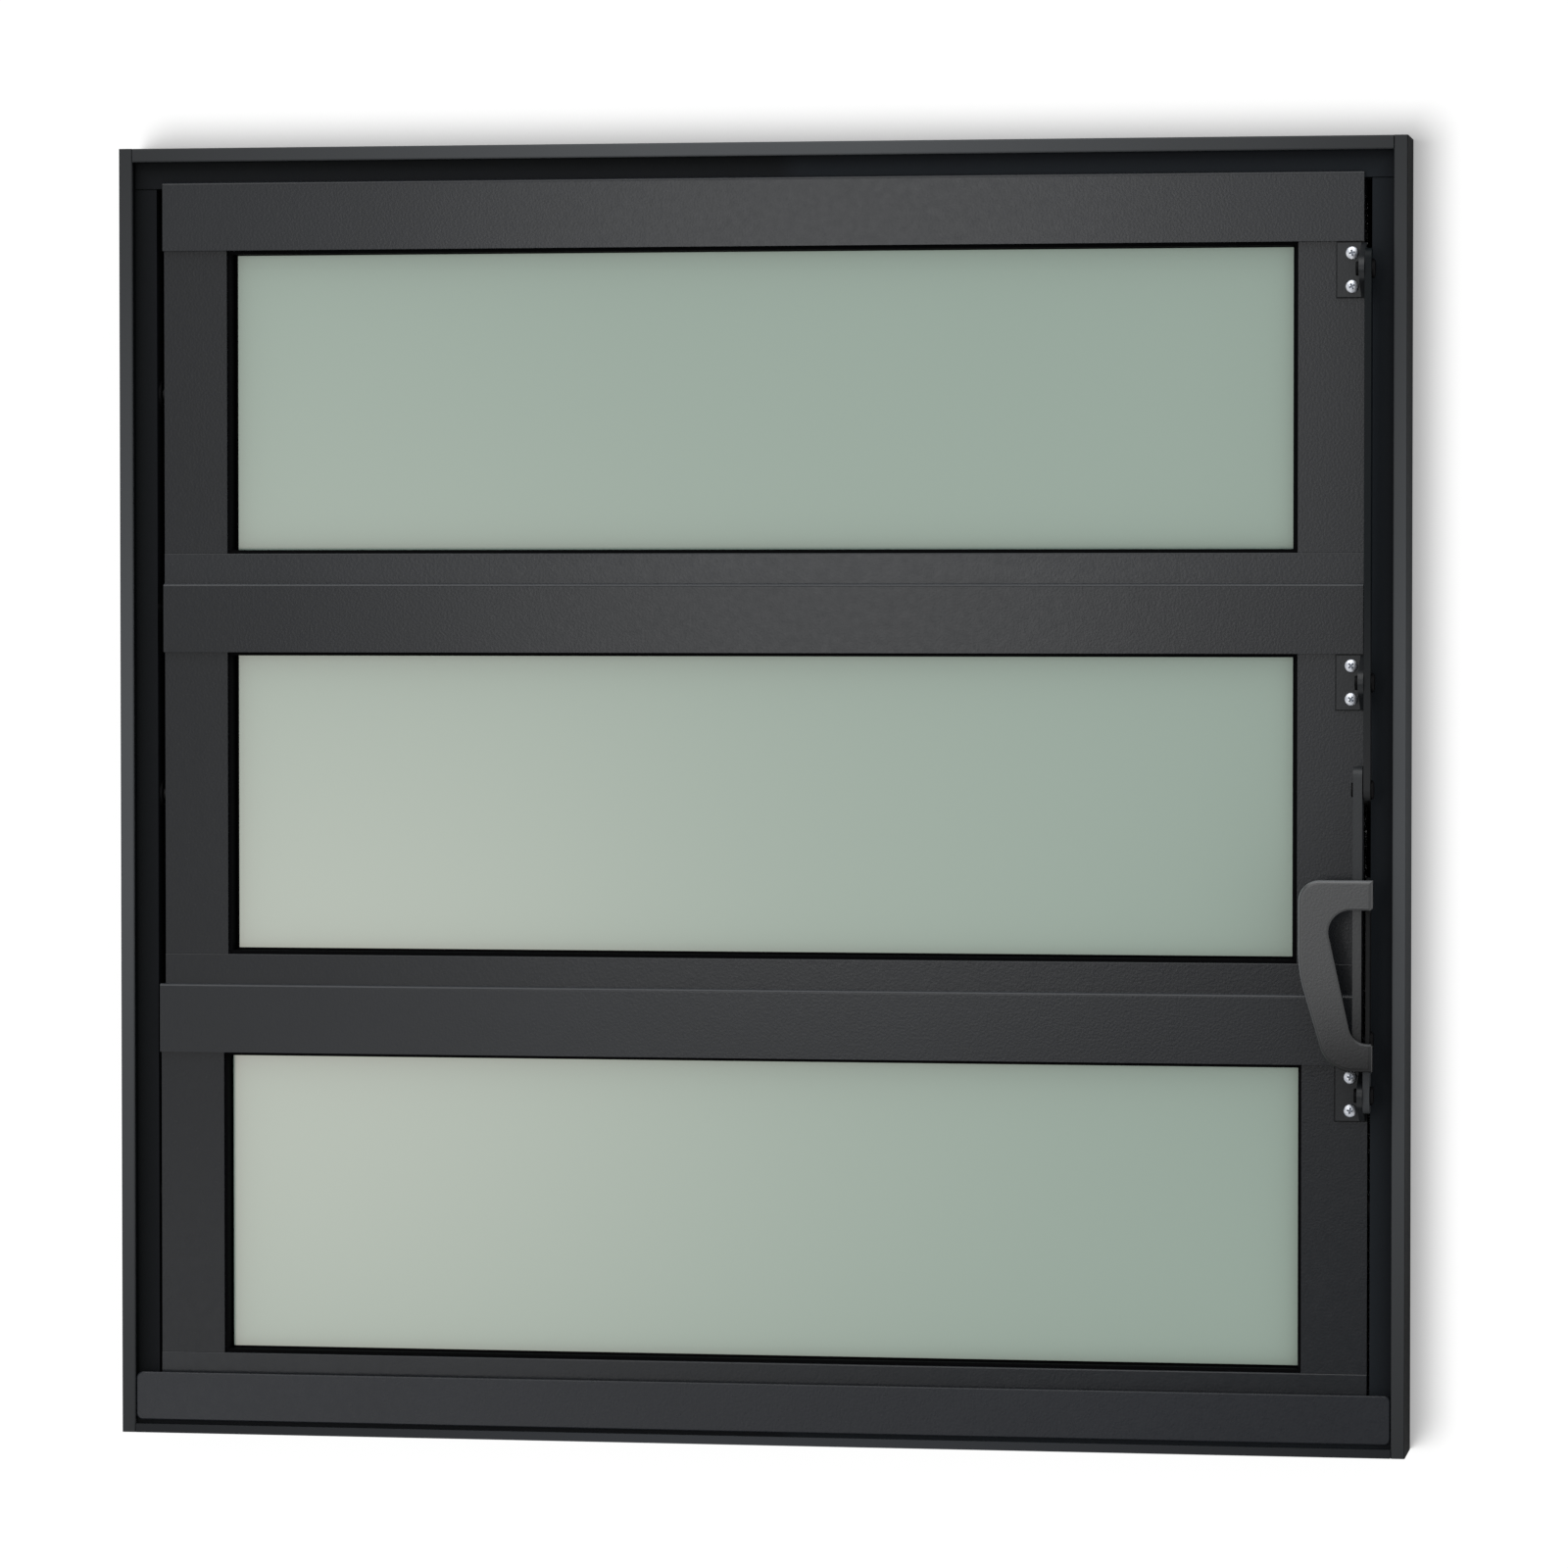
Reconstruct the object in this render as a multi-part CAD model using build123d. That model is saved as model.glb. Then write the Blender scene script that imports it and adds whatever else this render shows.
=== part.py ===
from build123d import *
import os

# Horizontal pivot window with three stacked leaves that turn together.
# Millimetres. X runs to the right seen from the room, +Y points outdoors, Z is up.
# The origin is the middle of the sill's underside, in the plane of the frame's front lips.

# Frame
frame_width = 600.0
frame_height = 600.0
frame_depth = 35.0
frame_wall = 1.4
lip_width = 6.3
jamb_step = 6.3
jamb_box_width = 10.2
head_step = 5.7
head_box_height = 12.2
head_stop_gap = 0.5
head_stop_lap = 2.0
corner_gap = 0.2
frame_edge_round = 0.8

# Sill
sill_lip_height = 4.0
sill_bed_height = 7.5
sill_front = 2.8
sill_upstand_wall = 1.5
sill_upstand_top = 26.5
cover_bottom = 6.0
cover_top = 28.3
cover_thickness = 2.0
cover_corner = 3.0
cover_edge_chamfer = 0.5

# Leaves
leaf_count = 3
leaf_lap = 10.0
lap_clearance = 1.5
head_lap = 3.0
sill_clearance = 6.0
leaf_side_gap = 3.5
bottom_leaf_side_gap = 1.3
leaf_back = 24.0
leaf_wall = 1.4
top_rail_height = 32.0
top_rail_front = 3.5
top_rail_round = 1.6
flap_thickness = 1.7
weather_rib_height = 0.5
weather_rib_depth = 4.0
weather_rib_inset = 1.0
bottom_rail_height = 24.0
bottom_rail_front = 6.2
bottom_rail_round = 0.6
stile_width = 30.0
stile_front = 6.5

# Glass and its gasket
glass_front = 14.5
glass_thickness = 4.0
glass_cover = 6.0
groove_depth = 8.0
groove_front = 8.1
groove_back = 21.5
gasket_show = 1.6
gasket_seat_gap = 0.1

# Leaf pivots
pivot_depth = 15.0
pivot_radius = 3.0
pivot_running_gap = 0.05
pivot_in_stile = 10.0
pivot_in_jamb = 6.0
pivot_seat_gap = 0.02
bush_radius = 5.0
bush_seat_gap = 0.05
bush_length = 7.0
bush_flange_radius = 6.5
bush_flange = 1.2

# Pile seals along the jambs
seal_front = 22.6
seal_width = 4.0
seal_leaf_gap = 0.1
seal_end_gap = 1.0
seal_step_gap = 0.9

# Link brackets on the right stiles
link_below_top = 45.0
link_in_front = 6.0
bracket_width = 12.2
bracket_half_height = 12.3
bracket_plate = 2.0
bracket_screw_spacing = 15.2
bracket_screw_radius = 1.75
bracket_screw_inset = 5.4
ear_thickness = 2.5
ear_nose_radius = 6.5

# Link bar in three lengths
bar_depth = 10.0
bar_thickness = 3.0
bar_side_gap = 0.15
bar_leaf_gap = 1.4
bar_end_round = 4.8
bar_end_reach = 9.3
lower_bar_thickness = 1.8
lower_bar_foot_rise = 20.0
lower_bar_toe = 8.0
splice_thickness = 4.2
splice_gap = 0.5
splice_rivet_drop = 48.4
splice_top_reach = 10.7
splice_end_reach = 5.0
splice_above_spine = 3.4
steady_rivet_rise = 25.0
bar_slot_drop = 3.0

# Rivets
rivet_radius = 2.4
rivet_running_gap = 0.05
rivet_head_radius = 4.4
rivet_head = 1.4
rivet_head_chamfer = 0.7
rivet_tail_radius = 3.3
rivet_tail = 1.6
splice_rivet_tail = 1.0
steady_rivet_tail = 0.8

# Handle on the bottom leaf
grip_front = 19.0
grip_thickness = 5.5
grip_reach = 33.6
grip_end = 13.8
grip_rise = 11.5
grip_height = 86.5
grip_round = 1.7
grip_window_chamfer = 0.8
grip_top_corner = 9.5
grip_side_round = 60.0
grip_low_round = 16.0
grip_slant_foot = 20.4
grip_slant_top = 45.0
window_top_drop = 13.4
window_rise = 12.6
window_slant_foot = 9.1
window_slant_top = 22.4
window_top_round = 10.0
window_low_round = 8.5
spine_thickness = 4.0
spine_depth = 8.0
spine_in_arm = 1.0
foot_width = 11.0
foot_rise = 2.5
foot_height = 8.0

# Places worked out from the sizes above
half_width = frame_width / 2
jamb_face = lip_width + jamb_box_width
head_under = frame_height - lip_width - head_box_height
top_leaf_top = head_under + head_lap
leaves_base = sill_bed_height + sill_clearance
leaf_pitch = (top_leaf_top - leaves_base - leaf_lap) / leaf_count
leaf_height = leaf_pitch + leaf_lap
flap_height = leaf_lap + lap_clearance
leaf_inset = jamb_face + leaf_side_gap
leaf_half = half_width - leaf_inset
glass_back = glass_front + glass_thickness
bar_outer = leaf_inset - bar_leaf_gap - bar_thickness
ear_outer = bar_outer + bar_thickness + bar_side_gap
link_y = -link_in_front
rivet_hole = rivet_radius + rivet_running_gap
splice_outer = bar_outer + bar_thickness + splice_gap
spine_height = grip_height - window_top_drop + spine_in_arm
same_place = 0.01
foot_rivet_rise = grip_rise + spine_height + splice_above_spine + splice_end_reach


def leaf_top(number):
    return top_leaf_top - (number - 1) * leaf_pitch


def leaf_pivot_z(number):
    return leaf_top(number) - leaf_height / 2


def link_z(number):
    return leaf_top(number) - link_below_top


def from_right(inset):
    return half_width - inset


# The bottom leaf is wider than the others and nearly closes the gap to the jambs.
def leaf_reach(number):
    return leaf_half + (leaf_side_gap - bottom_leaf_side_gap if number == leaf_count else 0)


def block(x0, x1, y0, y1, z0, z1):
    return Pos((x0 + x1) / 2, (y0 + y1) / 2, (z0 + z1) / 2) * Box(x1 - x0, y1 - y0, z1 - z0)


def rod(radius, x0, x1, y, z):
    return Pos((x0 + x1) / 2, y, z) * Rot(0, 90, 0) * Cylinder(radius, x1 - x0)


# Frame: hollow profiles. Each jamb keeps its outer tube full height,
# and its inner tube stops under the head and on the sill bed.
def jamb(side):
    outer = block(0, lip_width, 0, frame_depth, 0, frame_height)
    outer -= block(frame_wall, lip_width - frame_wall, frame_wall, frame_depth - frame_wall,
                   0, frame_height)
    inner_low = sill_bed_height + corner_gap
    inner_high = head_under - corner_gap
    inner = block(lip_width, jamb_face, jamb_step, frame_depth, inner_low, inner_high)
    inner -= block(lip_width, jamb_face - frame_wall, jamb_step + frame_wall,
                   frame_depth - frame_wall, inner_low, inner_high)
    profile = outer + inner
    front_edges = profile.edges().filter_by(Axis.Z).sort_by(Axis.Y)[:2]
    profile = fillet(front_edges, frame_edge_round)
    for number in range(1, leaf_count + 1):
        profile -= rod(bush_radius, jamb_face - frame_wall - 1, jamb_face + 1, pivot_depth,
                       leaf_pivot_z(number))
    if side > 0:
        return mirror(profile, Plane.YZ).move(Pos(half_width, 0, 0))
    return profile.move(Pos(-half_width, 0, 0))


def head():
    reach = half_width - lip_width - corner_gap
    top = block(-reach, reach, 0, frame_depth, frame_height - lip_width, frame_height)
    top -= block(-reach, reach, frame_wall, frame_depth - frame_wall,
                 frame_height - lip_width + frame_wall, frame_height - frame_wall)
    box = block(-reach, reach, head_step, frame_depth, head_under, frame_height - lip_width)
    box -= block(-reach, reach, head_step + frame_wall, frame_depth - frame_wall,
                 head_under + frame_wall, frame_height - lip_width)
    profile = top + box
    front_edges = profile.edges().filter_by(Axis.X).sort_by(Axis.Y)[:2]
    profile = fillet(front_edges, frame_edge_round)
    stop_front = leaf_back + head_stop_gap
    stop_low = top_leaf_top - flap_height - head_stop_lap
    return profile + block(-leaf_half, leaf_half, stop_front, stop_front + frame_wall,
                           stop_low, head_under)


def sill():
    reach = half_width - lip_width - corner_gap
    bed = block(-reach, reach, sill_front, frame_depth, 0, sill_bed_height)
    bed -= block(-reach, reach, sill_front + frame_wall, frame_depth - frame_wall,
                 frame_wall, sill_bed_height - frame_wall)
    lip = block(-reach, reach, 0, sill_front, 0, sill_lip_height)
    upstand = block(-reach, reach, sill_front, sill_front + sill_upstand_wall,
                    sill_bed_height, sill_upstand_top)
    return bed + lip + upstand


def sill_cover():
    reach = half_width - lip_width - 2 * corner_gap
    plate = block(-reach, reach, sill_front - cover_thickness, sill_front, cover_bottom, cover_top)
    plate = fillet(plate.edges().filter_by(Axis.Y), cover_corner)
    return chamfer(plate.faces().sort_by(Axis.Y)[0].edges(), cover_edge_chamfer)


def pivot_bush(side, number):
    z = leaf_pivot_z(number)
    face = jamb_face
    bush = rod(bush_radius - bush_seat_gap, face - bush_length, face, pivot_depth, z)
    bush += rod(bush_flange_radius, face, face + bush_flange, pivot_depth, z)
    bush -= rod(pivot_radius + pivot_running_gap, face - bush_length - 1, face + bush_flange + 1,
                pivot_depth, z)
    if side > 0:
        return mirror(bush, Plane.YZ).move(Pos(half_width, 0, 0))
    return bush.move(Pos(-half_width, 0, 0))


# The pile is short beside the wide part of the bottom leaf, which on the right ends at the slot
# for the link bar.
def pile_seal(side):
    low = sill_bed_height + seal_end_gap
    high = head_under - seal_end_gap
    wide_top = leaf_top(leaf_count) - flap_height if side < 0 else bar_slot_low()
    step = wide_top + seal_step_gap
    strip = block(jamb_face, jamb_face + leaf_side_gap - seal_leaf_gap,
                  seal_front, seal_front + seal_width, step, high)
    strip += block(jamb_face, jamb_face + bottom_leaf_side_gap - seal_leaf_gap,
                   seal_front, seal_front + seal_width, low, step)
    if side > 0:
        return mirror(strip, Plane.YZ).move(Pos(half_width, 0, 0))
    return strip.move(Pos(-half_width, 0, 0))


# Leaves: a top rail with a lapping flap, a bottom rail and two stiles between them.
def groove(z0, z1, x0, x1):
    return block(x0, x1, groove_front, groove_back, z0, z1)


def glass_groove(number):
    top = leaf_top(number)
    low = top - leaf_height + bottom_rail_height - groove_depth
    high = top - top_rail_height + groove_depth
    reach = leaf_reach(number) - stile_width + groove_depth
    return groove(low, high, -reach, reach)


def bar_slot_low():
    return link_z(leaf_count) - bar_slot_drop


# The link bar passes beside the bottom leaf as the leaf turns, through a slot in its right edge.
def bar_slot():
    return block(leaf_half, half_width, top_rail_front - 1, leaf_back + 1, bar_slot_low(),
                 leaf_top(leaf_count) + 1)


def top_rail(number):
    top = leaf_top(number)
    base = top - top_rail_height
    box_top = top - flap_height
    reach = leaf_reach(number)
    flap = block(-reach, reach, top_rail_front, top_rail_front + flap_thickness, base, top)
    flap = fillet(flap.edges().filter_by(Axis.X).group_by(Axis.Z)[-1].sort_by(Axis.Y)[:1],
                  top_rail_round)
    box = block(-reach, reach, top_rail_front, leaf_back, base, box_top)
    inner = leaf_half - leaf_wall
    box -= block(-inner, inner, top_rail_front + flap_thickness, leaf_back - leaf_wall,
                 base + groove_depth + leaf_wall, box_top - leaf_wall)
    rib_back = leaf_back - weather_rib_inset
    rib = block(-reach, reach, rib_back - weather_rib_depth, rib_back,
                box_top, box_top + weather_rib_height)
    return box + rib + flap - glass_groove(number) - bar_slot()


def bottom_rail(number):
    base = leaf_top(number) - leaf_height
    top = base + bottom_rail_height
    reach = leaf_reach(number)
    rail = block(-reach, reach, bottom_rail_front, leaf_back, base, top)
    inner = leaf_half - leaf_wall
    rail -= block(-inner, inner, bottom_rail_front + leaf_wall, leaf_back - leaf_wall,
                  base + leaf_wall, top - groove_depth - leaf_wall)
    rail -= glass_groove(number)
    return fillet(rail.edges().filter_by(Axis.X).group_by(Axis.Z)[-1].sort_by(Axis.Y)[:1],
                  bottom_rail_round)


def stile(side, number):
    top = leaf_top(number)
    low = top - leaf_height + bottom_rail_height
    high = top - top_rail_height
    reach = leaf_reach(number)
    inner_face = reach - stile_width
    bar = block(inner_face, reach, stile_front, leaf_back, low, high)
    bar -= block(inner_face + groove_depth + leaf_wall, leaf_half - leaf_wall,
                 stile_front + leaf_wall, leaf_back - leaf_wall, low, high)
    bar -= glass_groove(number)
    bar -= rod(pivot_radius + pivot_seat_gap, leaf_half - pivot_in_stile, reach + 1,
               pivot_depth, leaf_pivot_z(number))
    if side > 0:
        bar -= bar_slot()
        for screw_z in bracket_screw_heights(number):
            bar -= screw_hole(screw_z, stile_front - 1, stile_front + leaf_wall + 1)
        return bar
    return mirror(bar, Plane.YZ)


def glass_box(number, cover, front, back):
    top = leaf_top(number)
    low = top - leaf_height + bottom_rail_height - cover
    high = top - top_rail_height + cover
    reach = leaf_reach(number) - stile_width + cover
    return block(-reach, reach, front, back, low, high)


def gasket(number):
    seat = glass_box(number, groove_depth - gasket_seat_gap, groove_front + gasket_seat_gap,
                     groove_back - gasket_seat_gap)
    opening = glass_box(number, -gasket_show, groove_front - 1, groove_back + 1)
    return seat - opening - glass(number)


def glass(number):
    return glass_box(number, glass_cover, glass_front, glass_back)


def pivot_pins(number):
    z = leaf_pivot_z(number)
    inner = leaf_half - pivot_in_stile
    outer = half_width - jamb_face + pivot_in_jamb
    right = rod(pivot_radius, inner, outer, pivot_depth, z)
    return Compound(children=[right, mirror(right, Plane.YZ)])


# Link brackets: a plate screwed to the stile and an ear that carries the link rivet.
def bracket_screw_heights(number):
    middle = link_z(number)
    return [middle - bracket_screw_spacing / 2, middle + bracket_screw_spacing / 2]


def screw_hole(z, y0, y1):
    x = from_right(leaf_inset + bracket_screw_inset)
    return Pos(x, (y0 + y1) / 2, z) * Rot(90, 0, 0) * Cylinder(bracket_screw_radius, y1 - y0)


def bracket(number):
    z = link_z(number)
    plate_front = stile_front - bracket_plate
    plate = block(from_right(leaf_inset + bracket_width), from_right(ear_outer),
                  plate_front, stile_front, z - bracket_half_height, z + bracket_half_height)
    with BuildSketch(Plane.YZ) as side:
        with Locations((link_y, z)):
            Circle(ear_nose_radius)
        with Locations(((plate_front + stile_front) / 2, z)):
            Rectangle(bracket_plate, 2 * bracket_half_height)
        make_hull()
    ear = extrude(side.sketch, ear_thickness)
    ear = ear.move(Pos(from_right(ear_outer + ear_thickness), 0, 0))
    body = plate + ear
    body -= rod(rivet_radius + pivot_seat_gap, from_right(ear_outer + ear_thickness + 1),
                from_right(ear_outer - 1), link_y, z)
    for screw_z in bracket_screw_heights(number):
        body -= screw_hole(screw_z, plate_front - 1, stile_front + 1)
    return body


def rivet_button(x, z):
    button = rod(rivet_head_radius, x, x + rivet_head, link_y, z)
    return chamfer(button.edges().sort_by(Axis.X)[-1:], rivet_head_chamfer)


def link_rivet(number):
    z = link_z(number)
    head_inner = from_right(bar_outer - bar_side_gap)
    tail_inner = from_right(ear_outer + ear_thickness)
    rivet = rod(rivet_radius, tail_inner - rivet_tail, head_inner, link_y, z)
    tail = rod(rivet_tail_radius, tail_inner - rivet_tail, tail_inner, link_y, z)
    return rivet + tail + rivet_button(head_inner, z)


# Link bar: an upper bar over two leaves, a splice bar and a lower bar to the bottom leaf.
def bar_shape(z0, z1, outer, thickness):
    bar = block(from_right(outer + thickness), from_right(outer),
                link_y - bar_depth / 2, link_y + bar_depth / 2, z0, z1)
    return fillet(bar.edges().filter_by(Axis.X), bar_end_round)


def link_bar_upper():
    low = link_z(2) - splice_rivet_drop - splice_end_reach
    bar = bar_shape(low, link_z(1) + bar_end_reach, bar_outer, bar_thickness)
    x0, x1 = from_right(bar_outer + bar_thickness + 1), from_right(bar_outer - 1)
    for number in (1, 2):
        bar -= rod(rivet_hole, x0, x1, link_y, link_z(number))
    return bar - rod(rivet_radius + pivot_seat_gap, x0, x1, link_y, link_z(2) - splice_rivet_drop)


def link_bar_splice():
    low = link_z(3) + foot_rivet_rise - splice_end_reach
    high = link_z(2) - splice_rivet_drop + splice_top_reach
    bar = bar_shape(low, high, splice_outer, splice_thickness)
    x0, x1 = from_right(splice_outer + splice_thickness + 1), from_right(splice_outer - 1)
    for z in (link_z(2) - splice_rivet_drop, link_z(3) + foot_rivet_rise):
        bar -= rod(rivet_radius + pivot_seat_gap, x0, x1, link_y, z)
    return bar


def link_bar_lower():
    z = link_z(3)
    strip = bar_shape(z - lower_bar_toe, z + foot_rivet_rise + splice_end_reach, bar_outer,
                      lower_bar_thickness)
    foot = bar_shape(z - lower_bar_toe, z + lower_bar_foot_rise, bar_outer, bar_thickness)
    bar = strip + foot
    x0, x1 = from_right(bar_outer + bar_thickness + 1), from_right(bar_outer - 1)
    bar -= rod(rivet_hole, x0, x1, link_y, z)
    for rise in (steady_rivet_rise, foot_rivet_rise):
        bar -= rod(rivet_radius + pivot_seat_gap, x0, x1, link_y, z + rise)
    return bar


def splice_rivet(z):
    tail_end = from_right(splice_outer + splice_thickness) - splice_rivet_tail
    rivet = rod(rivet_radius, tail_end, from_right(bar_outer), link_y, z)
    return rivet + rod(rivet_tail_radius, tail_end, tail_end + splice_rivet_tail, link_y, z)


def steady_rivet(z):
    tail_inner = from_right(bar_outer + lower_bar_thickness)
    rivet = rod(rivet_radius, tail_inner - steady_rivet_tail, from_right(bar_outer), link_y, z)
    rivet += rod(rivet_tail_radius, tail_inner - steady_rivet_tail, tail_inner, link_y, z)
    return rivet + rivet_button(from_right(bar_outer), z)


def splice_rivets():
    upper_z = link_z(2) - splice_rivet_drop
    upper = splice_rivet(upper_z) + rivet_button(from_right(bar_outer), upper_z)
    lower = splice_rivet(link_z(3) + foot_rivet_rise)
    steady = steady_rivet(link_z(3) + steady_rivet_rise)
    return Compound(children=[upper, lower, steady])


# Handle: an open D grip with a spine behind it and a foot on the bottom leaf's top rail.
# Its outlines are straight runs with rounded corners, in sizes left of the grip's right end
# and up from its lower edge.
def grip_face(corners, radii):
    z0 = link_z(3) + grip_rise
    right = from_right(grip_end)
    points = [(right - left, z0 + up) for left, up in corners]
    face = make_face(Polyline(*points, close=True))
    for point, radius in zip(points, radii):
        if radius:
            face = fillet(face.vertices().sort_by_distance(point)[0], radius)
    return face


def grip_plate():
    outer = grip_face(
        [(0, 0), (grip_slant_foot, 0), (grip_reach, grip_slant_top), (grip_reach, grip_height),
         (0, grip_height)],
        [0, grip_low_round, grip_side_round, grip_top_corner, 0])
    hole_top = grip_height - window_top_drop
    hole = grip_face(
        [(-1, window_rise), (window_slant_foot, window_rise), (window_slant_top, hole_top),
         (-1, hole_top)],
        [0, window_low_round, window_top_round, 0])
    back = Plane.XZ.offset(grip_front - grip_thickness)
    plate = extrude(back * outer, grip_thickness)
    plate = fillet(plate.faces().sort_by(Axis.Y)[0].edges(), grip_round)
    window = extrude(back * hole, grip_thickness)
    plate -= window
    window_edges = [edge for edge in plate.faces().sort_by(Axis.Y)[0].edges()
                    if window.distance_to(edge @ 0.5) < same_place]
    return chamfer(window_edges, grip_window_chamfer)


def handle():
    z0 = link_z(3) + grip_rise
    back = -grip_front + grip_thickness
    plate = grip_plate()
    spine_x1 = from_right(splice_outer)
    spine = block(spine_x1 - spine_thickness, spine_x1, back - 1, back + spine_depth,
                  z0, z0 + spine_height)
    foot_x1 = from_right(leaf_inset)
    foot = block(foot_x1 - foot_width, foot_x1, back - 1, top_rail_front,
                 z0 + foot_rise, z0 + foot_rise + foot_height)
    return plate + spine + foot


def main():
    os.makedirs("parts", exist_ok=True)
    nodes = {
        "jamb_left": jamb(-1),
        "jamb_right": jamb(1),
        "head": head(),
        "sill": sill(),
        "sill_cover": sill_cover(),
        "pile_seal_left": pile_seal(-1),
        "pile_seal_right": pile_seal(1),
        "link_bar_upper": link_bar_upper(),
        "link_bar_splice": link_bar_splice(),
        "link_bar_lower": link_bar_lower(),
        "splice_rivets": splice_rivets(),
        "handle": handle(),
    }
    bushes = [pivot_bush(side, number) for side in (-1, 1) for number in range(1, leaf_count + 1)]
    nodes["pivot_bushes"] = Compound(children=bushes)
    for number in range(1, leaf_count + 1):
        leaf = f"leaf_{number}_"
        nodes[leaf + "top_rail"] = top_rail(number)
        nodes[leaf + "bottom_rail"] = bottom_rail(number)
        nodes[leaf + "stile_left"] = stile(-1, number)
        nodes[leaf + "stile_right"] = stile(1, number)
        nodes[leaf + "glass"] = glass(number)
        nodes[leaf + "gasket"] = gasket(number)
        nodes[leaf + "pivot_pins"] = pivot_pins(number)
        nodes[leaf + "bracket"] = bracket(number)
        nodes[leaf + "link_rivet"] = link_rivet(number)
    for name, solid in nodes.items():
        export_step(solid, f"parts/{name}.step")


main()
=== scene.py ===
import bpy
import bmesh
import math
import random
from mathutils import Matrix, Vector


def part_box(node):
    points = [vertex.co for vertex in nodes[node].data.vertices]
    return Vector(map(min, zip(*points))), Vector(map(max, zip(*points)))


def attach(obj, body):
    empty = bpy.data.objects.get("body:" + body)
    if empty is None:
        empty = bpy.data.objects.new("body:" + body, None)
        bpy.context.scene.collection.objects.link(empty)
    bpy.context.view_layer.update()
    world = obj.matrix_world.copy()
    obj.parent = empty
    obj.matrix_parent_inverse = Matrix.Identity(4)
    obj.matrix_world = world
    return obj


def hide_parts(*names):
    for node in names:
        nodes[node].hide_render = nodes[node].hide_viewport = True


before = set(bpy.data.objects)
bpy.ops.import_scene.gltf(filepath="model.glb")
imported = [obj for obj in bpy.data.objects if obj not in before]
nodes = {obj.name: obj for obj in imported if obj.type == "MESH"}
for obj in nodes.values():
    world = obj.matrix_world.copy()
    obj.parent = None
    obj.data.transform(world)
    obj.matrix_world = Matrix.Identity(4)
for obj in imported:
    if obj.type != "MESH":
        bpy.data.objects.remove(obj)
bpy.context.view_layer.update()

# Frame profiles: two jambs, the head and the sill, extruded aluminium in a graphite powder coat.
# The coat is satin with a faint orange peel. Painted shade darkens the lips toward the corners and
# makes the stepped-back faces beside the leaves almost black, darkest beside the lips and on the
# left. The outer sides carry painted light, paler at the middle of their height.


class Value:
    """A shader socket that takes part in sums, as a number does."""

    def __init__(self, tree, socket):
        self.tree = tree
        self.socket = socket

    def maths(self, operation, first, second):
        node = self.tree.nodes.new("ShaderNodeMath")
        node.operation = operation
        for slot, item in zip(node.inputs, (first, second)):
            if isinstance(item, Value):
                self.tree.links.new(item.socket, slot)
            else:
                slot.default_value = item
        return Value(self.tree, node.outputs[0])

    def __add__(self, other):
        return self.maths("ADD", self, other)

    __radd__ = __add__

    def __sub__(self, other):
        return self.maths("SUBTRACT", self, other)

    def __rsub__(self, other):
        return self.maths("SUBTRACT", other, self)

    def __mul__(self, other):
        return self.maths("MULTIPLY", self, other)

    __rmul__ = __mul__

    def __truediv__(self, other):
        return self.maths("DIVIDE", self, other)

    def magnitude(self):
        return self.maths("ABSOLUTE", self, 0.0)

    def least(self, other):
        return self.maths("MINIMUM", self, other)

    def most(self, other):
        return self.maths("MAXIMUM", self, other)

    def clamped(self, low, high):
        return self.most(low).least(high)

    def above(self, limit, fade):
        return ((self - limit) / fade).clamped(0.0, 1.0)

    def between(self, low, high, fade):
        return self.above(low, fade) * (1 - self.above(high, fade))


class Surface:
    """One material: its main shader, and a way to add any other node."""

    def __init__(self, name, **fixed):
        self.material = bpy.data.materials.new(name)
        self.material.use_nodes = True
        self.tree = self.material.node_tree
        self.shader = self.tree.nodes["Principled BSDF"]
        for socket, value in fixed.items():
            self.shader.inputs[socket.replace("_", " ")].default_value = value

    def node(self, kind, settings=None, inputs=None, output=0):
        made = self.tree.nodes.new(kind)
        for key, value in (settings or {}).items():
            setattr(made, key, value)
        for key, value in (inputs or {}).items():
            if isinstance(value, Value):
                self.tree.links.new(value.socket, made.inputs[key])
            else:
                made.inputs[key].default_value = value
        return Value(self.tree, made.outputs[output])

    def place(self):
        return self.node("ShaderNodeTexCoord", output="Object")

    def along(self, axis, vector=None):
        return self.node("ShaderNodeSeparateXYZ", inputs={0: vector or self.place()}, output=axis)

    def noise(self, scale, detail=2.0):
        return self.node("ShaderNodeTexNoise", inputs={"Vector": self.place(), "Scale": scale,
                                                       "Detail": detail}, output=0)

    def blend(self, factor, first, second):
        return self.node("ShaderNodeMix", {"data_type": "RGBA"},
                         {"Factor": factor, "A": first, "B": second}, output="Result")

    def feed(self, socket, value):
        self.tree.links.new(value.socket, self.shader.inputs[socket])

    def bumped(self, scale, strength, depth, detail=2.0):
        self.feed("Normal", self.node("ShaderNodeBump", inputs={
            "Height": self.noise(scale, detail), "Strength": strength, "Distance": depth}))


def linear(red, green, blue):
    parts = []
    for part in (red, green, blue):
        part /= 255
        parts.append(part / 12.92 if part <= 0.04045 else ((part + 0.055) / 1.055) ** 2.4)
    return (*parts, 1.0)


def shaded(colour, share):
    return tuple(share * part for part in colour[:3]) + (1.0,)


def dress(node_names, surface):
    for name in node_names:
        nodes[name].data.materials.clear()
        nodes[name].data.materials.append(surface.material)


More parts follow.
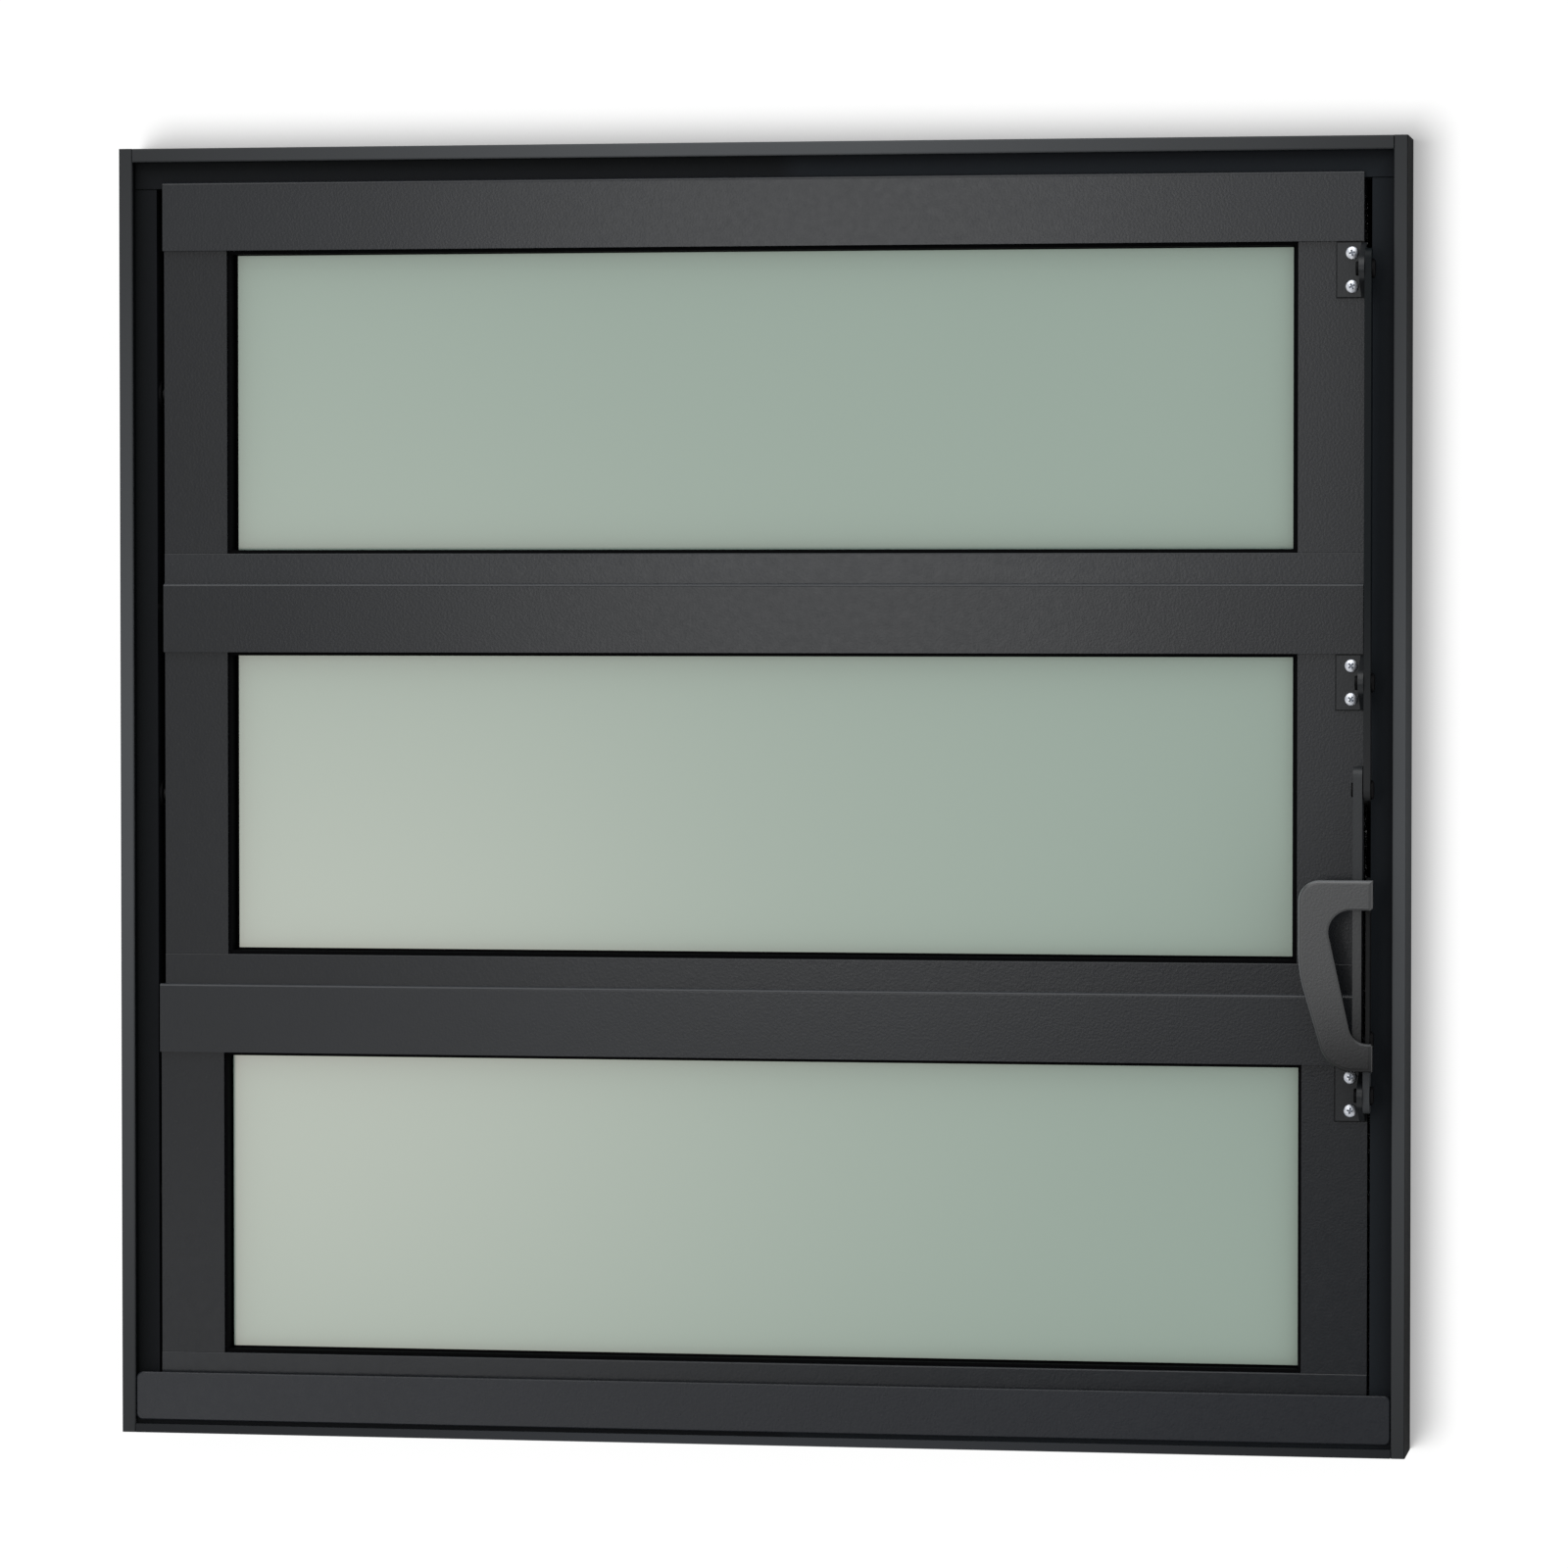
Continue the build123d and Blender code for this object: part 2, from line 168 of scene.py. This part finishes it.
half_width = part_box("jamb_right")[1][0]
frame_back, frame_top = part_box("head")[1][1:]
lip_width = 0.0063
lip_depth = 0.0015
lip_fade = 0.0005
side_inset = 0.0005
side_fade = 0.0003
back_inset = 0.0004
back_fade = 0.0002
recess_reach = 0.0102
right_from = 0.0102
corner_start = 0.05
corner_run = 0.25
corner_shade = 0.42
outer_start = 0.02
outer_run = 0.22
lip_rough = 0.36
recess_rougher = 0.2
side_rougher = 0.4
profile_swing = 0.06
grain_scale = 260.0
peel = {"scale": 900.0, "strength": 0.12, "depth": 0.0004, "detail": 3.0}


def profile_coat(name, lip_colour):
    coat = Surface(name, Specular_IOR_Level=0.08)
    across, depth, height = (coat.along(axis) for axis in "XYZ")
    aside = across.magnitude()
    off_middle = (height - frame_top / 2).magnitude()
    # Painted shade: the lips darken toward the frame's corners.
    corners = aside.least(off_middle).above(corner_start, corner_run)
    lips = coat.blend(corners, lip_colour, shaded(lip_colour, corner_shade))
    # Painted shade: the stepped-back faces are near black, darkest beside the lips and on the
    # left.
    step_in = (half_width - lip_width - aside).least(frame_top - lip_width - height)
    step_in = step_in.above(0.0, recess_reach)
    painted_recess_shade = coat.blend(across.above(right_from, right_from),
                               coat.blend(step_in, linear(2, 4, 5), linear(11, 13, 16)),
                               coat.blend(step_in, linear(9, 12, 16), linear(19, 23, 27)))
    recess = depth.above(lip_depth, lip_fade)
    front = coat.blend(recess, lips, painted_recess_shade)
    # Painted light: the outer sides are paler at the middle of their height, darker toward the
    # ends.
    painted_side_light = coat.blend(off_middle.above(outer_start, outer_run), linear(44, 46, 48),
                              linear(10, 11, 12))
    outer_side = aside.above(half_width - side_inset, side_fade)
    sides = coat.blend(outer_side, front, painted_side_light)
    back = depth.above(frame_back - back_inset, back_fade)
    coat.feed("Base Color", coat.blend(back, sides, linear(31, 33, 36)))
    coat.feed("Roughness", lip_rough + recess_rougher * recess + side_rougher * outer_side
              + profile_swing * coat.noise(grain_scale))
    coat.bumped(**peel)
    return coat


dress(["head", "jamb_left", "jamb_right"], profile_coat("frame_powder_coat", linear(65, 67, 69)))
# The sill takes a darker copy of the profile coat as painted shade.
dress(["sill"], profile_coat("sill_shaded_powder_coat", linear(45, 47, 50)))

# Sill cover: a flat plate with rounded corners that clips over the sill's upstand.
# It has the leaves' satin coat, which is a little uneven from place to place.
cloud_scale = 9.0
cloud_detail = 3.0
cloud_start = 0.35
cloud_run = 0.3
cloud_shade = 0.86
rough_swing = 0.08


def powder_coat(name, colour, rough, gloss=0.22):
    coat = Surface(name, Specular_IOR_Level=gloss)
    clouds = coat.noise(cloud_scale, cloud_detail).above(cloud_start, cloud_run)
    coat.tone = coat.blend(clouds, shaded(colour, cloud_shade), colour)
    coat.feed("Base Color", coat.tone)
    coat.feed("Roughness", rough - rough_swing / 2 + rough_swing * coat.noise(grain_scale))
    coat.bumped(**peel)
    return coat


dress(["sill_cover"], powder_coat("cover_powder_coat", linear(31, 33, 37), 0.28))

# Pile seals: black woven pile strips along both jambs, rubbed by nothing while the leaves turn.
# Their fibres stand across the gap, and are short beside the wide part of the bottom leaf.
# Longer tufts behind the laps keep the light out there.
pile = Surface("black_pile", Base_Color=linear(5, 5, 6), Roughness=0.95, Specular_IOR_Level=0.0)
pile.bumped(scale=2400.0, strength=0.9, depth=0.0006)
dress(["pile_seal_left", "pile_seal_right"], pile)
fibre_pitch = 0.00032
fibre_rows = 10
fibre_radius = 0.00024
fibre_taper = 0.6
fibre_corners = (0.5, 2.6, 4.7)
fibre_gap = 0.00003
strip_share = 0.7
root_share = 0.9
row_stray = 0.2
tuft_stray = 0.3
end_fill = 0.0009
tuft_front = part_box("leaf_1_stile_left")[1][1] + 0.0003
tuft_reach = 0.003
tuft_half = 0.0016
lap_drop = 0.0108
laps = [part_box(f"leaf_{number}_top_rail")[1][2] - lap_drop for number in (2, 3)]
leaf_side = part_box("leaf_1_bottom_rail")[1][0]
wide_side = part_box("leaf_3_bottom_rail")[1][0]
flap_height = 0.0115
link_below_top = 0.045
slot_drop = 0.003
step_gap = 0.0009
wide_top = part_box("leaf_3_top_rail")[1][2]
draw = random.Random(5)


def placed(shape, name):
    mesh = bpy.data.meshes.new(name)
    shape.to_mesh(mesh)
    shape.free()
    made = bpy.data.objects.new(name, mesh)
    bpy.context.scene.collection.objects.link(made)
    return made


def add_fibre(brush, base, tip, y, z):
    ring = [brush.verts.new((x, y + radius * math.cos(turn), z + radius * math.sin(turn)))
            for x, radius in ((base, fibre_radius), (tip, fibre_radius * fibre_taper))
            for turn in fibre_corners]
    for first in range(3):
        second = (first + 1) % 3
        brush.faces.new((ring[first], ring[second], ring[second + 3], ring[first + 3]))
    brush.faces.new(ring[3:])


def pile_brush(name, side, step):
    low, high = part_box(f"pile_seal_{name}")
    root = high[0] if side > 0 else low[0]
    deep = high[1] - low[1]
    brush = bmesh.new()
    for bottom, top, leaf_edge in ((low[2] - end_fill, step, wide_side),
                                   (step, high[2] + end_fill, leaf_side)):
        strip = side * (abs(root) - leaf_edge) * strip_share
        for corner in bmesh.ops.create_cube(brush, size=1.0)["verts"]:
            corner.co = Vector((root - strip * (0.5 - corner.co.x),
                                (low[1] + high[1]) / 2 + corner.co.y * deep,
                                (bottom + top) / 2 + corner.co.z * (top - bottom)))
        for tuft in range(int((top - bottom) / fibre_pitch)):
            for row in range(fibre_rows):
                in_row = row + 0.5 + draw.uniform(-row_stray, row_stray)
                in_tuft = tuft + 0.5 + draw.uniform(-tuft_stray, tuft_stray)
                y = low[1] + in_row * deep / fibre_rows
                z = bottom + in_tuft * fibre_pitch
                at_lap = y > tuft_front and any(abs(z - lap) < tuft_half for lap in laps)
                tip = side * (leaf_edge + (-tuft_reach if at_lap else fibre_gap))
                add_fibre(brush, root - strip * root_share, tip, y, z)
    bmesh.ops.recalc_face_normals(brush, faces=brush.faces)
    made = placed(brush, f"pile_brush_{name}")
    made.data.materials.append(pile.material)
    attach(made, "frame")
    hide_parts(f"pile_seal_{name}")


pile_brush("left", -1, wide_top - flap_height + step_gap)
pile_brush("right", 1, wide_top - link_below_top - slot_drop + step_gap)

# Pivot bushes: six sleeves of moulded black nylon, pressed into the jambs. The leaves' pins turn
# in them.
nylon = Surface("black_nylon", Base_Color=linear(6, 6, 7), Roughness=0.5, Specular_IOR_Level=0.05)
nylon.bumped(scale=1500.0, strength=0.1, depth=0.0002)
dress(["pivot_bushes"], nylon)

# Leaves: top rail, bottom rail and two stiles each, in a graphite coat glossier than the frame's.
# The lower two top rails carry a painted highlight along their upper edges, and painted shadow
# lies round the brackets. The middle leaf's rails and the left stiles take darker copies of the
# coat as painted shade, and the right stiles a paler one as painted light.
leaves = {1: "leaf_top", 2: "leaf_middle", 3: "leaf_bottom"}
leaf_coat = powder_coat("leaf_powder_coat", linear(27, 29, 32), 0.25)
# The middle leaf's rails take a darker copy of the coat as painted shade.
middle_shaded_coat = powder_coat("middle_shaded_powder_coat", linear(21, 23, 26), 0.25)
# Painted highlight along the upper edges of the lower two top rails.
highlight_width = 0.0012
highlight_fade = 0.0003
for rail_coat in (leaf_coat, middle_shaded_coat):
    rail_height = rail_coat.along("Z")
    painted_top_highlight = 0.0
    for number in (2, 3):
        rail_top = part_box(f"leaf_{number}_top_rail")[1][2]
        painted_top_highlight += rail_height.between(rail_top - highlight_width, rail_top, highlight_fade)
    rail_coat.feed("Base Color", rail_coat.blend(painted_top_highlight, rail_coat.tone, linear(44, 46, 49)))
# Painted light and shade: the left stiles take a darker copy of the coat, the right stiles a paler
# one.
shaded_stile_coat = powder_coat("stile_powder_coat", linear(19, 21, 24), 0.26)
lit_stile_coat = powder_coat("bracket_stile_powder_coat", linear(25, 27, 30), 0.26)
# Painted shadow: a dark, metallic rim on the right stiles round each bracket's plate.
bracket_shadow_width = 0.0008
bracket_shadow_fade = 0.0003
bracket_shadow_metal = 0.6
stile_height = lit_stile_coat.along("Z")
bracket_shadow = 0.0
for number in leaves:
    low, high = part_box(f"leaf_{number}_bracket")
    bracket_shadow += stile_height.between(low[2] - bracket_shadow_width, high[2] + bracket_shadow_width, bracket_shadow_fade)
bracket_shadow *= lit_stile_coat.along("X").above(low[0] - bracket_shadow_width, bracket_shadow_fade)
lit_stile_coat.feed("Base Color", lit_stile_coat.blend(bracket_shadow, lit_stile_coat.tone, linear(5, 6, 7)))
lit_stile_coat.feed("Metallic", bracket_shadow_metal * bracket_shadow)
for number, rail_coat in zip(leaves, (leaf_coat, middle_shaded_coat, leaf_coat)):
    dress([f"leaf_{number}_top_rail", f"leaf_{number}_bottom_rail"], rail_coat)
    dress([f"leaf_{number}_stile_left"], shaded_stile_coat)
    dress([f"leaf_{number}_stile_right"], lit_stile_coat)

# Glass: 4 mm satin-etched float with a sage tint, cut to seat in the gasket.
# A thin black band of painted shade lies on its edges, widest on the left.
gasket_show = 0.0016
edge_shade_fade = 0.0002
painted_edge_shade = {1: {"left": 0.0018, "right": 0.0011, "bottom": 0.0, "top": 0.0004},
                2: {"left": 0.0018, "right": 0.0011, "bottom": 0.0011, "top": 0.0},
                3: {"left": 0.0009, "right": 0.0004, "bottom": 0.001, "top": 0.0004}}
haze_scale = 3.0
# Painted shade: a black band on each pane's edges, metallic so that it takes no reflection.
for number, lap in painted_edge_shade.items():
    sage = Surface(f"satin_glass_{number}", Roughness=0.31, IOR=1.5, Transmission_Weight=0.0)
    low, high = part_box(f"leaf_{number}_glass")
    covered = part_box(f"leaf_{number}_stile_left")[1][0] + gasket_show - low[0]
    clear = (sage.along("X").between(low[0] + covered + lap["left"],
                                     high[0] - covered - lap["right"] - edge_shade_fade,
                                     edge_shade_fade)
             * sage.along("Z").between(low[2] + covered + lap["bottom"],
                                       high[2] - covered - lap["top"] - edge_shade_fade,
                                       edge_shade_fade))
    tint = sage.blend(sage.noise(haze_scale, 1.0), linear(139, 160, 149), linear(146, 166, 155))
    sage.feed("Base Color", sage.blend(clear, linear(4, 4, 5), tint))
    sage.feed("Metallic", 1 - clear)
    sage.bumped(scale=4000.0, strength=0.05, depth=0.0001)
    dress([f"leaf_{number}_glass"], sage)

# Gaskets: channels of black extruded rubber, wrapped round the panes' edges. They seat the panes
# in the leaves' grooves and show as a black line.
rubber = Surface("black_rubber", Base_Color=linear(4, 4, 5), Roughness=0.7,
                 Specular_IOR_Level=0.03)
rubber.bumped(scale=1800.0, strength=0.15, depth=0.0002)
dress([f"leaf_{number}_gasket" for number in leaves], rubber)

# Pivot pins: turned steel, one at each side of each leaf, running in the bushes. Their colour is
# painted near black as the shade of the side gaps, so that they don't glint there.
gap_shade_steel = Surface("turned_steel", Base_Color=linear(16, 16, 17), Metallic=0.5, Roughness=0.5)
gap_shade_steel.bumped(scale=3000.0, strength=0.1, depth=0.0001)
dress([f"leaf_{number}_pivot_pins" for number in leaves], gap_shade_steel)

# Link bars and brackets: pressed steel in the same graphite coat. The upper bar carries painted
# light, paler toward the splice; the lower bar is painted dark as shade behind the handle and
# paler where it shows below it.
link_coat = powder_coat("link_powder_coat", linear(6, 11, 14), 0.45, 0.1)
# Painted light: the upper bar is paler below this height, toward the splice.
dark_from = 0.31
dark_run = 0.09
link_coat.feed("Base Color", link_coat.blend(link_coat.along("Z").above(dark_from, dark_run),
                                             linear(31, 32, 33), link_coat.tone))
dress(["link_bar_upper"], link_coat)
lower_coat = powder_coat("lower_link_powder_coat", linear(11, 12, 13), 0.45, 0.12)
handle_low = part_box("handle")[0]
# Painted shade: the lower bar is dark behind the handle and paler below it.
pale_fade = 0.002
behind_handle_shade = lower_coat.along("Z").above(handle_low[2], pale_fade)
lower_coat.feed("Base Color", lower_coat.blend(behind_handle_shade, linear(48, 50, 52), lower_coat.tone))
dress(["link_bar_lower"], lower_coat)
dress(["link_bar_splice"], powder_coat("splice_powder_coat", linear(33, 35, 37), 0.36))
dress([f"leaf_{number}_bracket" for number in leaves],
      powder_coat("bracket_powder_coat", linear(27, 29, 31), 0.34))

# Rivets: blackened steel. One joins each bracket's ear to the link bar, and the splice's rivets
# join the two lengths of bar.
rivet_black = Surface("blackened_steel", Base_Color=linear(6, 6, 7), Roughness=0.5,
                      Specular_IOR_Level=0.05)
rivet_black.bumped(scale=2500.0, strength=0.1, depth=0.0001)
dress([f"leaf_{number}_link_rivet" for number in leaves] + ["splice_rivets"], rivet_black)

# Handle: die-cast grip in a slightly paler graphite coat. A painted highlight lies on its rims
# that face up and to the left, and painted shade darkens the lower arm, the foot and the spine.
handle_coat = powder_coat("handle_powder_coat", linear(50, 51, 52), 0.3, 0.42)
spine_behind = 0.0035
spine_fade = 0.0008
rim_facing = 0.5
rim_run = 0.3
low_shade_from = handle_low[2] - 0.004
low_shade_run = 0.062
spine_shade = 0.35
spine_shade_metal = 0.25
low_shade_metal = 0.55
# Painted shade darkens the handle toward its lower end and on its spine, metallic there so that it
# takes no reflection.
painted_low_shade = 1 - handle_coat.along("Z").above(low_shade_from, low_shade_run)
painted_low_shade *= painted_low_shade
spine = handle_coat.along("Y").above(handle_low[1] + spine_behind, spine_fade)
# Painted highlight on the rims that face up and to the left.
facing = handle_coat.node("ShaderNodeNewGeometry", output="Normal")
rim = (0.0 - handle_coat.along("X", facing)).most(handle_coat.along("Z", facing))
painted_rim_highlight = handle_coat.blend(rim.above(rim_facing, rim_run) * (1 - spine), handle_coat.tone,
                             linear(92, 94, 96))
painted_handle_shade = (painted_low_shade + spine_shade * spine).clamped(0.0, 1.0)
handle_coat.feed("Base Color", handle_coat.blend(painted_handle_shade, painted_rim_highlight, linear(4, 4, 5)))
handle_coat.feed("Metallic", low_shade_metal * painted_low_shade + spine_shade_metal * spine)
dress(["handle"], handle_coat)

# Bracket screws: two bright zinc-plated pan-head screws on each bracket, with a cross recess.
# Their shanks pass the bracket's holes and bite in the stile's wall.
screw_spacing = 0.0152
screw_inset = 0.0068
bracket_plate = 0.002
head_radius = 0.003
head_height = 0.0019
head_rim = 0.0006
head_steps = 8
head_facets = 40
shank_radius = 0.0016
shank_length = 0.0036
shank_tip = 0.0008
cross_reach = 0.0018
cross_width = 0.001
cross_depth = 0.0013
cross_taper = 0.55
cutter_clear = 0.001
sunk = 0.00006
weld = 1e-6


def dome_height(out):
    return head_rim + (head_height - head_rim) * math.sqrt(max(0.0, 1 - (out / head_radius) ** 2))


def screw_blank():
    outline = []
    for step in range(head_steps + 1):
        turn = math.pi / 2 * step / head_steps
        outline.append((head_radius * math.sin(turn),
                        head_rim + (head_height - head_rim) * math.cos(turn)))
    outline += [(head_radius, 0.0), (shank_radius, 0.0), (shank_radius, -shank_length),
                (0.0, -shank_length - shank_tip)]
    blank = bmesh.new()
    corners = [blank.verts.new((radius, -height, 0.0)) for radius, height in outline]
    edges = [blank.edges.new(pair) for pair in zip(corners, corners[1:])]
    bmesh.ops.spin(blank, geom=corners + edges, cent=(0, 0, 0), axis=(0, 1, 0),
                   angle=math.tau, steps=head_facets)
    bmesh.ops.remove_doubles(blank, verts=blank.verts, dist=weld)
    bmesh.ops.recalc_face_normals(blank, faces=blank.faces)
    return blank


def cross_cutter(turn):
    cutter = bmesh.new()
    for angle in (turn, turn + math.pi / 2):
        arm = bmesh.ops.create_cube(cutter, size=1.0)["verts"]
        for corner in arm:
            deep = corner.co.y > 0
            taper = cross_taper if deep else 1.0
            corner.co = Vector((corner.co.x * 2 * cross_reach * taper,
                                -head_height + (cross_depth if deep else -cutter_clear),
                                corner.co.z * cross_width * taper))
        bmesh.ops.rotate(cutter, verts=arm, matrix=Matrix.Rotation(angle, 3, "Y"))
    return cutter


def cut_screw(turn):
    screw = placed(screw_blank(), "screw_blank")
    cutter = placed(cross_cutter(turn), "cross_cutter")
    cut = screw.modifiers.new("cross", "BOOLEAN")
    cut.object = cutter
    cut.use_self = True
    cut.solver = "EXACT"
    shape = bmesh.new()
    shape.from_object(screw, bpy.context.evaluated_depsgraph_get())
    for used in (screw, cutter):
        bpy.data.objects.remove(used)
    for face in shape.faces:
        middle = face.calc_center_median()
        out = math.hypot(middle.x, middle.z)
        in_recess = out < cross_reach and 0 < -middle.y < dome_height(out) - sunk
        face.material_index = int(in_recess)
    return shape


spangle_scale = 700.0
spangle_start = 0.4
spangle_run = 0.3
zinc_grain = 1500.0
zinc_rough = 0.32
zinc_swing = 0.16
upper_turn = 0.35
lower_turn = 1.1
zinc = Surface("zinc_plate", Metallic=1.0)
spangle = zinc.noise(spangle_scale).above(spangle_start, spangle_run)
zinc.feed("Base Color", zinc.blend(spangle, linear(176, 180, 188), linear(214, 216, 220)))
zinc.feed("Roughness", zinc_rough + zinc_swing * zinc.noise(zinc_grain))
# Painted shade: the cross recesses take a darker zinc.
recess_shade_zinc = Surface("zinc_recess", Metallic=1.0, Roughness=0.5)
recess_shade_zinc.feed("Base Color", recess_shade_zinc.blend(recess_shade_zinc.noise(zinc_grain),
                                             linear(108, 114, 124), linear(138, 143, 152)))
for number, body in leaves.items():
    low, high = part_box(f"leaf_{number}_bracket")
    middle = (low[2] + high[2]) / 2
    both = bmesh.new()
    for rise, turn in ((screw_spacing / 2, upper_turn + number),
                       (-screw_spacing / 2, lower_turn * number)):
        shape = cut_screw(turn)
        shape.transform(Matrix.Translation((low[0] + screw_inset, high[1] - bracket_plate,
                                            middle + rise)))
        spare = bpy.data.meshes.new("spare")
        shape.to_mesh(spare)
        shape.free()
        both.from_mesh(spare)
        bpy.data.meshes.remove(spare)
    screws = placed(both, f"leaf_{number}_screws")
    screws.data.materials.append(zinc.material)
    screws.data.materials.append(recess_shade_zinc.material)
    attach(screws, body)

# Backdrop: the white wall that the window is set in, with its opening, seen from the room side
# only. It glows white by itself, and one low sun from the left casts the window's soft shadow on
# it, up and to the right.
wall_y = frame_back + 0.001
wall_lap = 0.01
sill_lap = 0.006
wall_reach = (6.0, 0.0, 4.0)
opening_reach = (half_width - wall_lap, (frame_top - wall_lap + sill_lap) / 2,
                 (frame_top - wall_lap - sill_lap) / 2)
wall_mesh = bpy.data.meshes.new("backdrop")
wall_corners = [(side * across, wall_y, middle + up * tall)
                for across, middle, tall in (wall_reach, opening_reach)
                for side, up in ((-1, -1), (1, -1), (1, 1), (-1, 1))]
wall_mesh.from_pydata(wall_corners, [], [(first, (first + 1) % 4, (first + 1) % 4 + 4, first + 4)
                                         for first in range(4)])
wall = bpy.data.objects.new("backdrop", wall_mesh)
bpy.context.scene.collection.objects.link(wall)
plaster = Surface("white_plaster", Base_Color=(0.1, 0.1, 0.1, 1.0), Roughness=1.0,
                  Specular_IOR_Level=0.0, Emission_Color=(1.0, 1.0, 1.0, 1.0),
                  Emission_Strength=0.36)
from_behind = plaster.node("ShaderNodeNewGeometry", output="Backfacing")
see_through = plaster.node("ShaderNodeBsdfTransparent")
painted = Value(plaster.tree, plaster.shader.outputs[0])
shown_side = plaster.node("ShaderNodeMixShader", inputs={0: from_behind, 1: painted,
                                                         2: see_through})
plaster.tree.links.new(shown_side.socket, plaster.tree.nodes["Material Output"].inputs[0])
wall_mesh.materials.append(plaster.material)


# Studio light: soft boxes that the coats mirror high in the middle, low on the left and from
# above, one low on the left that only the panes mirror, and the sun that only the wall takes.
def light_group(name, members):
    group = bpy.data.collections.new(name)
    for member in members:
        group.objects.link(member)
    return group


def soft_box(name, group, place, target, size, radiance, colour=(1.0, 1.0, 1.0)):
    light = bpy.data.lights.new(name, "AREA")
    light.shape = "RECTANGLE"
    light.size, light.size_y = size
    light.energy = radiance * math.pi * size[0] * size[1]
    light.color = colour
    lamp = bpy.data.objects.new(name, light)
    bpy.context.scene.collection.objects.link(lamp)
    lamp.location = place
    lamp.rotation_euler = (Vector(target) - Vector(place)).to_track_quat("-Z", "Y").to_euler()
    lamp.light_linking.receiver_collection = group


panes = [nodes[f"leaf_{number}_glass"] for number in leaves]
coated = [item for item in bpy.context.scene.objects
          if item.type == "MESH" and item != wall and item not in panes]
soft_box("key_box", light_group("coated_parts", coated), place=(-0.42, -3.0, 0.6),
         target=(0.0, 0.0, 0.4), size=(0.5, 1.0), radiance=6.0)
soft_box("fill_box", light_group("coated_low", coated), place=(-1.0, -3.0, -0.4),
         target=(-0.1, 0.0, 0.2), size=(0.6, 0.5), radiance=2.0)
soft_box("ceiling_box", light_group("coated_tops", coated), place=(-0.2, -1.6, 2.4),
         target=(0.0, -0.6, 0.0), size=(2.6, 2.4), radiance=2.4)
soft_box("pane_box", light_group("panes", panes), place=(-1.02, -3.0, -0.03),
         target=(-0.1, 0.0, 0.2), size=(0.6, 0.5), radiance=22.0, colour=(1.0, 0.8, 0.76))
sun_strength = 19.5
sun_spread = math.radians(33)
sun_way = Vector((0.295, 1.0, 0.22))
sun_light = bpy.data.lights.new("low_sun", "SUN")
sun_light.energy = sun_strength
sun_light.angle = sun_spread
sun = bpy.data.objects.new("low_sun", sun_light)
bpy.context.scene.collection.objects.link(sun)
sun.rotation_euler = sun_way.to_track_quat("-Z", "Y").to_euler()
sun.light_linking.receiver_collection = light_group("backdrop_only", [wall])

# Black flag: a card low in front that keeps the room's white out of the coats' lower right.
flag_left, flag_right = -0.35, 1.1
flag_low, flag_high = -1.2, -0.07
flag_y = -2.9
flag_mesh = bpy.data.meshes.new("black_flag")
flag_mesh.from_pydata([(flag_left, flag_y, flag_low), (flag_right, flag_y, flag_low),
                       (flag_right, flag_y, flag_high), (flag_left, flag_y, flag_high)],
                      [], [(0, 1, 2, 3)])
flag = bpy.data.objects.new("black_flag", flag_mesh)
bpy.context.scene.collection.objects.link(flag)
card = Surface("black_card", Base_Color=(0.004, 0.004, 0.004, 1.0), Roughness=1.0,
               Specular_IOR_Level=0.0)
flag_mesh.materials.append(card.material)
flag.visible_camera = flag.visible_diffuse = flag.visible_shadow = False

# Room: even white on all sides. It shows a little brighter to the camera, in reflections and
# through glass than it lights.
room_level = 0.85
shown_extra = 0.15
world = bpy.data.worlds.new("studio")
bpy.context.scene.world = world
world.use_nodes = True
sky = world.node_tree
background = sky.nodes["Background"]
background.inputs[0].default_value = (1.0, 1.0, 1.0, 1.0)
ray = sky.nodes.new("ShaderNodeLightPath")
shown = (Value(sky, ray.outputs["Is Camera Ray"]) + Value(sky, ray.outputs["Is Glossy Ray"])
         + Value(sky, ray.outputs["Is Transmission Ray"])).clamped(0.0, 1.0)
sky.links.new((room_level + shown_extra * shown).socket, background.inputs[1])

# Camera: a long lens from the right, a little above the middle of the window.
camera_place = Vector((0.51186, -3.00138, 0.39446))
yaw = math.radians(9.410)
pitch = math.radians(1.678)
lens = bpy.data.cameras.new("camera")
lens.sensor_width = 36.0
lens.lens = 152.0
camera = bpy.data.objects.new("camera", lens)
bpy.context.scene.collection.objects.link(camera)
camera.location = camera_place
camera.rotation_euler = (math.pi / 2 - pitch, 0.0, yaw)
bpy.context.scene.camera = camera
bpy.context.scene.view_settings.view_transform = "Standard"
